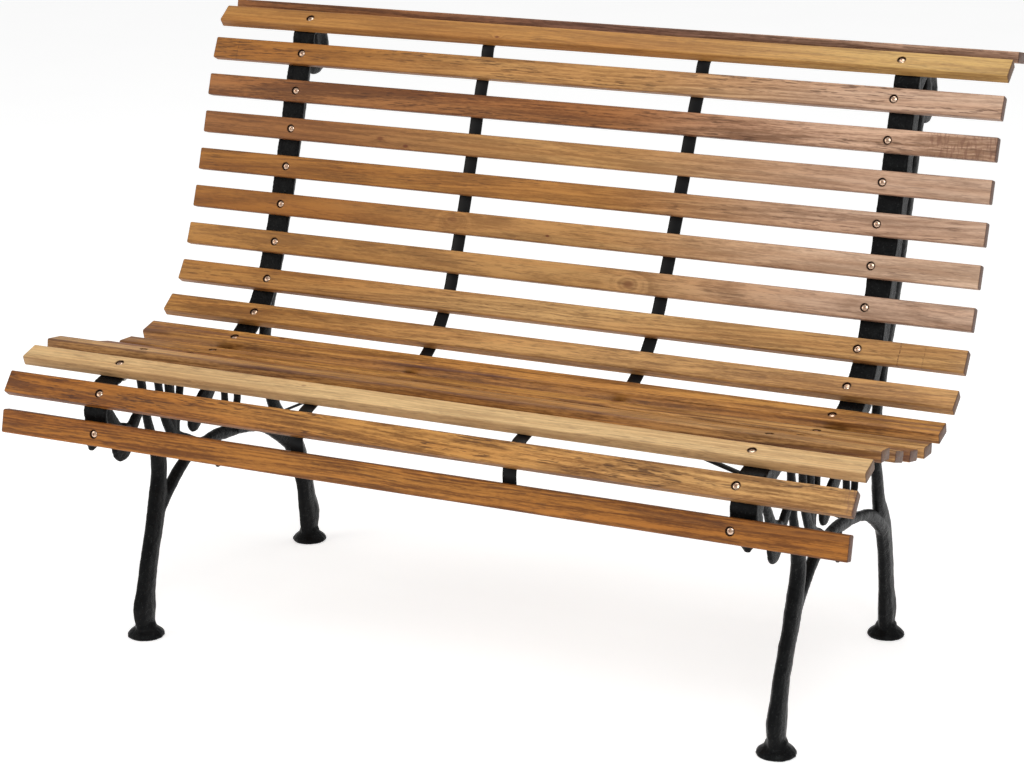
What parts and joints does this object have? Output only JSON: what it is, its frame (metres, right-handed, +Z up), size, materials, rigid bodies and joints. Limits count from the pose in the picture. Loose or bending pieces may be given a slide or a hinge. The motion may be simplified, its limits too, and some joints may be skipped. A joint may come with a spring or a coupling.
{
  "type": "slatted park bench",
  "caption": "Park bench with a rolled seat and a curved back of spaced timber slats, screwed to two black cast-iron end frames with branching legs and round feet.",
  "frame": {"origin": "floor level, under the middle of the bench's bounding box", "axes": "+X along the slats to the right as seen by someone facing the bench, +Y rearwards, +Z up; the seat faces -Y"},
  "size_m": [1.27, 0.7224, 0.8687],
  "materials": {
    "oiled_timber": "oiled hardwood, satin, with lengthwise grain and dark streaks; tone differs from slat to slat",
    "black_iron": "satin black paint over a slightly rough casting",
    "black_steel": "satin black paint",
    "brass_screw": "bright, slightly worn"
  },
  "bodies": {
    "root": {"back_slat_01": "oiled_timber", "back_slat_02": "oiled_timber", "back_slat_03": "oiled_timber", "back_slat_04": "oiled_timber", "back_slat_05": "oiled_timber", "back_slat_06": "oiled_timber", "back_slat_07": "oiled_timber", "back_slat_08": "oiled_timber", "back_slat_09": "oiled_timber", "back_slat_10": "oiled_timber", "end_frame_left": "black_iron", "end_frame_right": "black_iron", "seat_slat_01": "oiled_timber", "seat_slat_02": "oiled_timber", "seat_slat_03": "oiled_timber", "seat_slat_04": "oiled_timber", "seat_slat_05": "oiled_timber", "seat_slat_06": "oiled_timber", "seat_slat_07": "oiled_timber", "seat_slat_08": "oiled_timber", "seat_stay_left": "black_steel", "seat_stay_right": "black_steel", "slat_screw_left_01": "brass_screw", "slat_screw_left_02": "brass_screw", "slat_screw_left_03": "brass_screw", "slat_screw_left_04": "brass_screw", "slat_screw_left_05": "brass_screw", "slat_screw_left_06": "brass_screw", "slat_screw_left_07": "brass_screw", "slat_screw_left_08": "brass_screw", "slat_screw_left_09": "brass_screw", "slat_screw_left_10": "brass_screw", "slat_screw_left_11": "brass_screw", "slat_screw_left_12": "brass_screw", "slat_screw_left_13": "brass_screw", "slat_screw_left_14": "brass_screw", "slat_screw_left_15": "brass_screw", "slat_screw_left_16": "brass_screw", "slat_screw_left_17": "brass_screw", "slat_screw_left_18": "brass_screw", "slat_screw_right_01": "brass_screw", "slat_screw_right_02": "brass_screw", "slat_screw_right_03": "brass_screw", "slat_screw_right_04": "brass_screw", "slat_screw_right_05": "brass_screw", "slat_screw_right_06": "brass_screw", "slat_screw_right_07": "brass_screw", "slat_screw_right_08": "brass_screw", "slat_screw_right_09": "brass_screw", "slat_screw_right_10": "brass_screw", "slat_screw_right_11": "brass_screw", "slat_screw_right_12": "brass_screw", "slat_screw_right_13": "brass_screw", "slat_screw_right_14": "brass_screw", "slat_screw_right_15": "brass_screw", "slat_screw_right_16": "brass_screw", "slat_screw_right_17": "brass_screw", "slat_screw_right_18": "brass_screw", "slat_strap_left": "black_steel", "slat_strap_right": "black_steel"}
  },
  "joints": []
}
